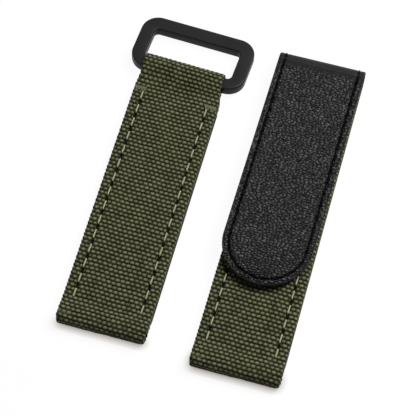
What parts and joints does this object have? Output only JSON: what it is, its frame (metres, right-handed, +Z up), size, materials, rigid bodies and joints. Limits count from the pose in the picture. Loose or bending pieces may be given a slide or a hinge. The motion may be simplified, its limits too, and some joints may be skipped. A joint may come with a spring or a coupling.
{
  "type": "hook and loop watch strap",
  "caption": "Two-piece canvas watch strap with leather lining: a short strap with a swinging metal ring, and a long strap with a folded hook and loop flap.",
  "frame": {"origin": "under the middle of the box of both straps, on the surface that they lie on", "axes": "+Y runs from the watch ends to the ring and the fold, +X is to the long strap, +Z is up from the leather linings to the canvas fronts"},
  "size_m": [0.0592, 0.0898, 0.0062],
  "materials": {
    "olive_canvas": "coarse plain weave, matte",
    "black_leather": "pebble grain, semi-matte",
    "core_board": "matte",
    "khaki_thread": "twisted sewing thread",
    "black_thread": "twisted sewing thread",
    "olive_thread": "dense tack stitches",
    "loop_pile": "brushed loop pile",
    "hook_tape": "woven tape with nylon hooks",
    "black_metal": "satin black coating"
  },
  "bodies": {
    "root": {"ring_strap_canvas": "olive_canvas", "ring_strap_core": "core_board", "ring_strap_lining": "black_leather", "ring_strap_front_thread_left": "khaki_thread", "ring_strap_front_thread_right": "khaki_thread", "ring_strap_back_thread_left": "black_thread", "ring_strap_back_thread_right": "black_thread", "ring_strap_tack_left": "olive_thread", "ring_strap_tack_right": "olive_thread", "long_strap_canvas": "olive_canvas", "long_strap_core": "core_board", "long_strap_lining": "black_leather", "long_strap_front_thread_left": "khaki_thread", "long_strap_front_thread_right": "khaki_thread", "long_strap_back_thread_left": "black_thread", "long_strap_back_thread_right": "black_thread", "loop_tape": "loop_pile", "loop_tape_thread": "black_thread"},
    "ring": {"ring": "black_metal"},
    "fold_1": {"fold_leather_1": "black_leather"},
    "fold_2": {"fold_leather_2": "black_leather"},
    "flap": {"flap_leather": "black_leather", "flap_hook_tape": "hook_tape", "flap_front_thread": "black_thread", "flap_inner_thread": "black_thread"}
  },
  "joints": [
    {"name": "ring_swing", "type": "hinge", "parent": "root", "child": "ring", "pos_m": [-0.01502, 0.03001, 0.00274], "axis": [0.9989, -0.0471, 0], "range_deg": [-100, 120]},
    {"name": "fold_bend_1", "type": "hinge", "parent": "root", "child": "fold_1", "pos_m": [0.01848, 0.04083, 0.00041], "axis": [-1, 0, 0], "range_deg": [0, 60]},
    {"name": "fold_bend_2", "type": "hinge", "parent": "fold_1", "child": "fold_2", "pos_m": [0.01848, 0.04235, 0.00305], "axis": [-1, 0, 0], "range_deg": [0, 60]},
    {"name": "flap_open", "type": "hinge", "parent": "fold_2", "child": "flap", "pos_m": [0.01848, 0.04083, 0.00569], "axis": [-1, 0, 0], "range_deg": [0, 60]}
  ],
  "couplings": [
    {"joint": "fold_bend_1", "follows": "flap_open", "ratio": 1},
    {"joint": "fold_bend_2", "follows": "flap_open", "ratio": 1}
  ]
}
